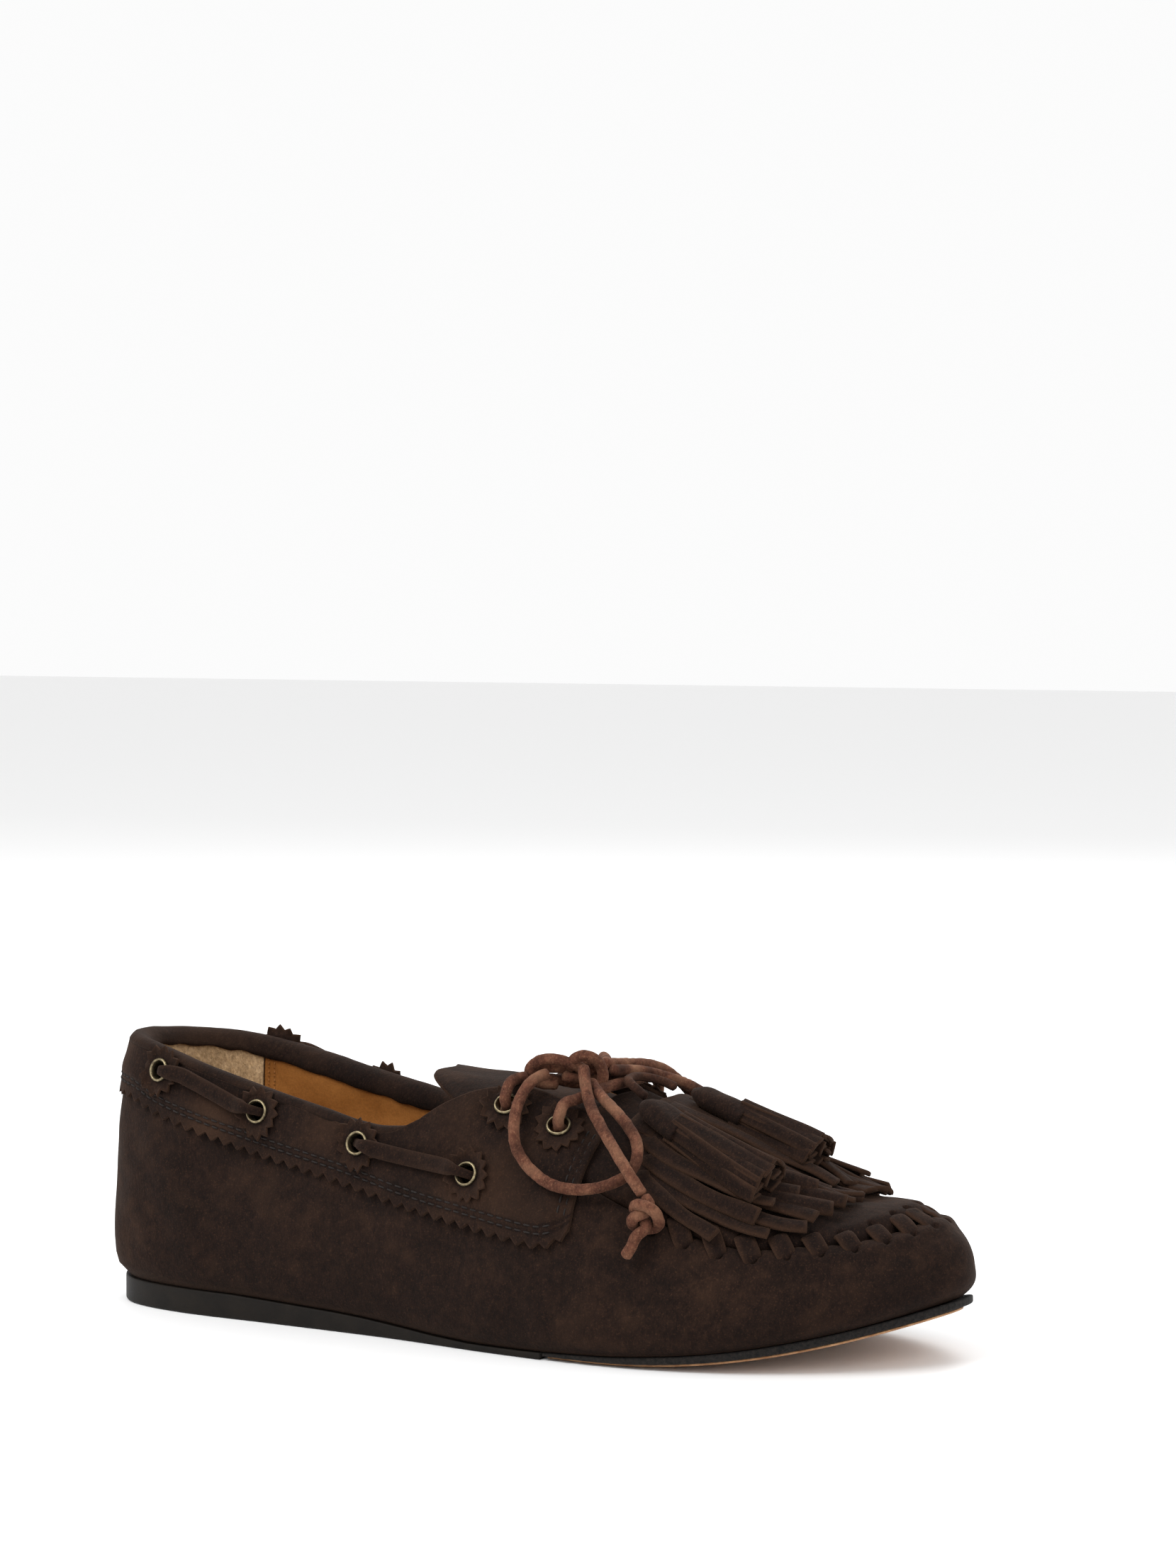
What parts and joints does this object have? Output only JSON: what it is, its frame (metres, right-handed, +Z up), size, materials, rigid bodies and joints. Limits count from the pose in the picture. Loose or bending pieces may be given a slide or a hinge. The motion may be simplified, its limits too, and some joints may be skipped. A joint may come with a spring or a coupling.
{
  "type": "moccasin",
  "caption": "Right-foot suede moccasin with fringed kiltie, two hanging tassels, a round-lace bow, eyelets on pinked washers, a collar thong and a low wedge heel.",
  "frame": {"origin": "on the ground under the middle of the sole, on the heel wedge's flat bottom", "axes": "+X towards the toe, +Y towards the inner (medial) side, +Z up"},
  "size_m": [0.2518, 0.0949, 0.0778],
  "materials": {
    "suede": "napped suede",
    "suede_trim": "napped suede",
    "lace_leather": "waxed round leather",
    "eyelet_brass": "antique satin",
    "tan_lining": "smooth leather",
    "heel_lining": "suede",
    "sole_rubber": "satin",
    "tread_leather": "matt",
    "board": "fibreboard"
  },
  "bodies": {
    "root": {"heel_wedge": "sole_rubber", "forefoot_tread": "tread_leather", "forefoot_sole": "sole_rubber", "insole_board": "board", "insole_sock": "heel_lining", "vamp": "suede", "heel_counter": "board", "apron_plug": "suede", "apron_thong": "suede_trim", "collar": "suede", "lateral_quarter_lining": "tan_lining", "medial_quarter_lining": "tan_lining", "heel_lining": "heel_lining", "topline_binding": "suede_trim", "lateral_1_washer": "suede", "lateral_1_eyelet": "eyelet_brass", "lateral_2_washer": "suede", "lateral_2_eyelet": "eyelet_brass", "lateral_3_washer": "suede", "lateral_3_eyelet": "eyelet_brass", "lateral_4_washer": "suede", "lateral_4_eyelet": "eyelet_brass", "lateral_5_washer": "suede", "lateral_5_eyelet": "eyelet_brass", "lateral_6_washer": "suede", "lateral_6_eyelet": "eyelet_brass", "medial_1_washer": "suede", "medial_1_eyelet": "eyelet_brass", "medial_2_washer": "suede", "medial_2_eyelet": "eyelet_brass", "medial_3_washer": "suede", "medial_3_eyelet": "eyelet_brass", "medial_4_washer": "suede", "medial_4_eyelet": "eyelet_brass", "medial_5_washer": "suede", "medial_5_eyelet": "eyelet_brass", "medial_6_washer": "suede", "medial_6_eyelet": "eyelet_brass", "side_thong": "suede_trim", "front_lace": "lace_leather", "lateral_loop": "lace_leather", "lateral_tail": "lace_leather", "medial_loop": "lace_leather", "medial_tail": "lace_leather", "bow_knot": "lace_leather", "lateral_end_knot": "lace_leather", "medial_end_knot": "lace_leather", "tassel_cord": "lace_leather"},
    "tongue_flap": {"tongue": "suede"},
    "kiltie_flap": {"kiltie_lower": "suede", "kiltie_upper": "suede"},
    "lateral_tassel": {"lateral_tassel_head": "suede", "lateral_tassel_fringe": "suede"},
    "medial_tassel": {"medial_tassel_head": "suede", "medial_tassel_fringe": "suede"}
  },
  "joints": [
    {"name": "tongue_flex", "type": "hinge", "parent": "root", "child": "tongue_flap", "pos_m": [0.038, 0, 0.056], "axis": [0, -1, 0], "range_deg": [0, 7], "stiffness_Nm_per_rad": 0.3},
    {"name": "kiltie_lift", "type": "hinge", "parent": "root", "child": "kiltie_flap", "pos_m": [0.0415, 0, 0.0645], "axis": [0, -1, 0], "range_deg": [0, 30]},
    {"name": "lateral_tassel_swing", "type": "hinge", "parent": "kiltie_flap", "child": "lateral_tassel", "pos_m": [0.0425, -0.012, 0.0645], "axis": [0, -1, 0], "range_deg": [0, 50]},
    {"name": "medial_tassel_swing", "type": "hinge", "parent": "kiltie_flap", "child": "medial_tassel", "pos_m": [0.044, 0.003, 0.066], "axis": [0, -1, 0], "range_deg": [0, 50]}
  ]
}
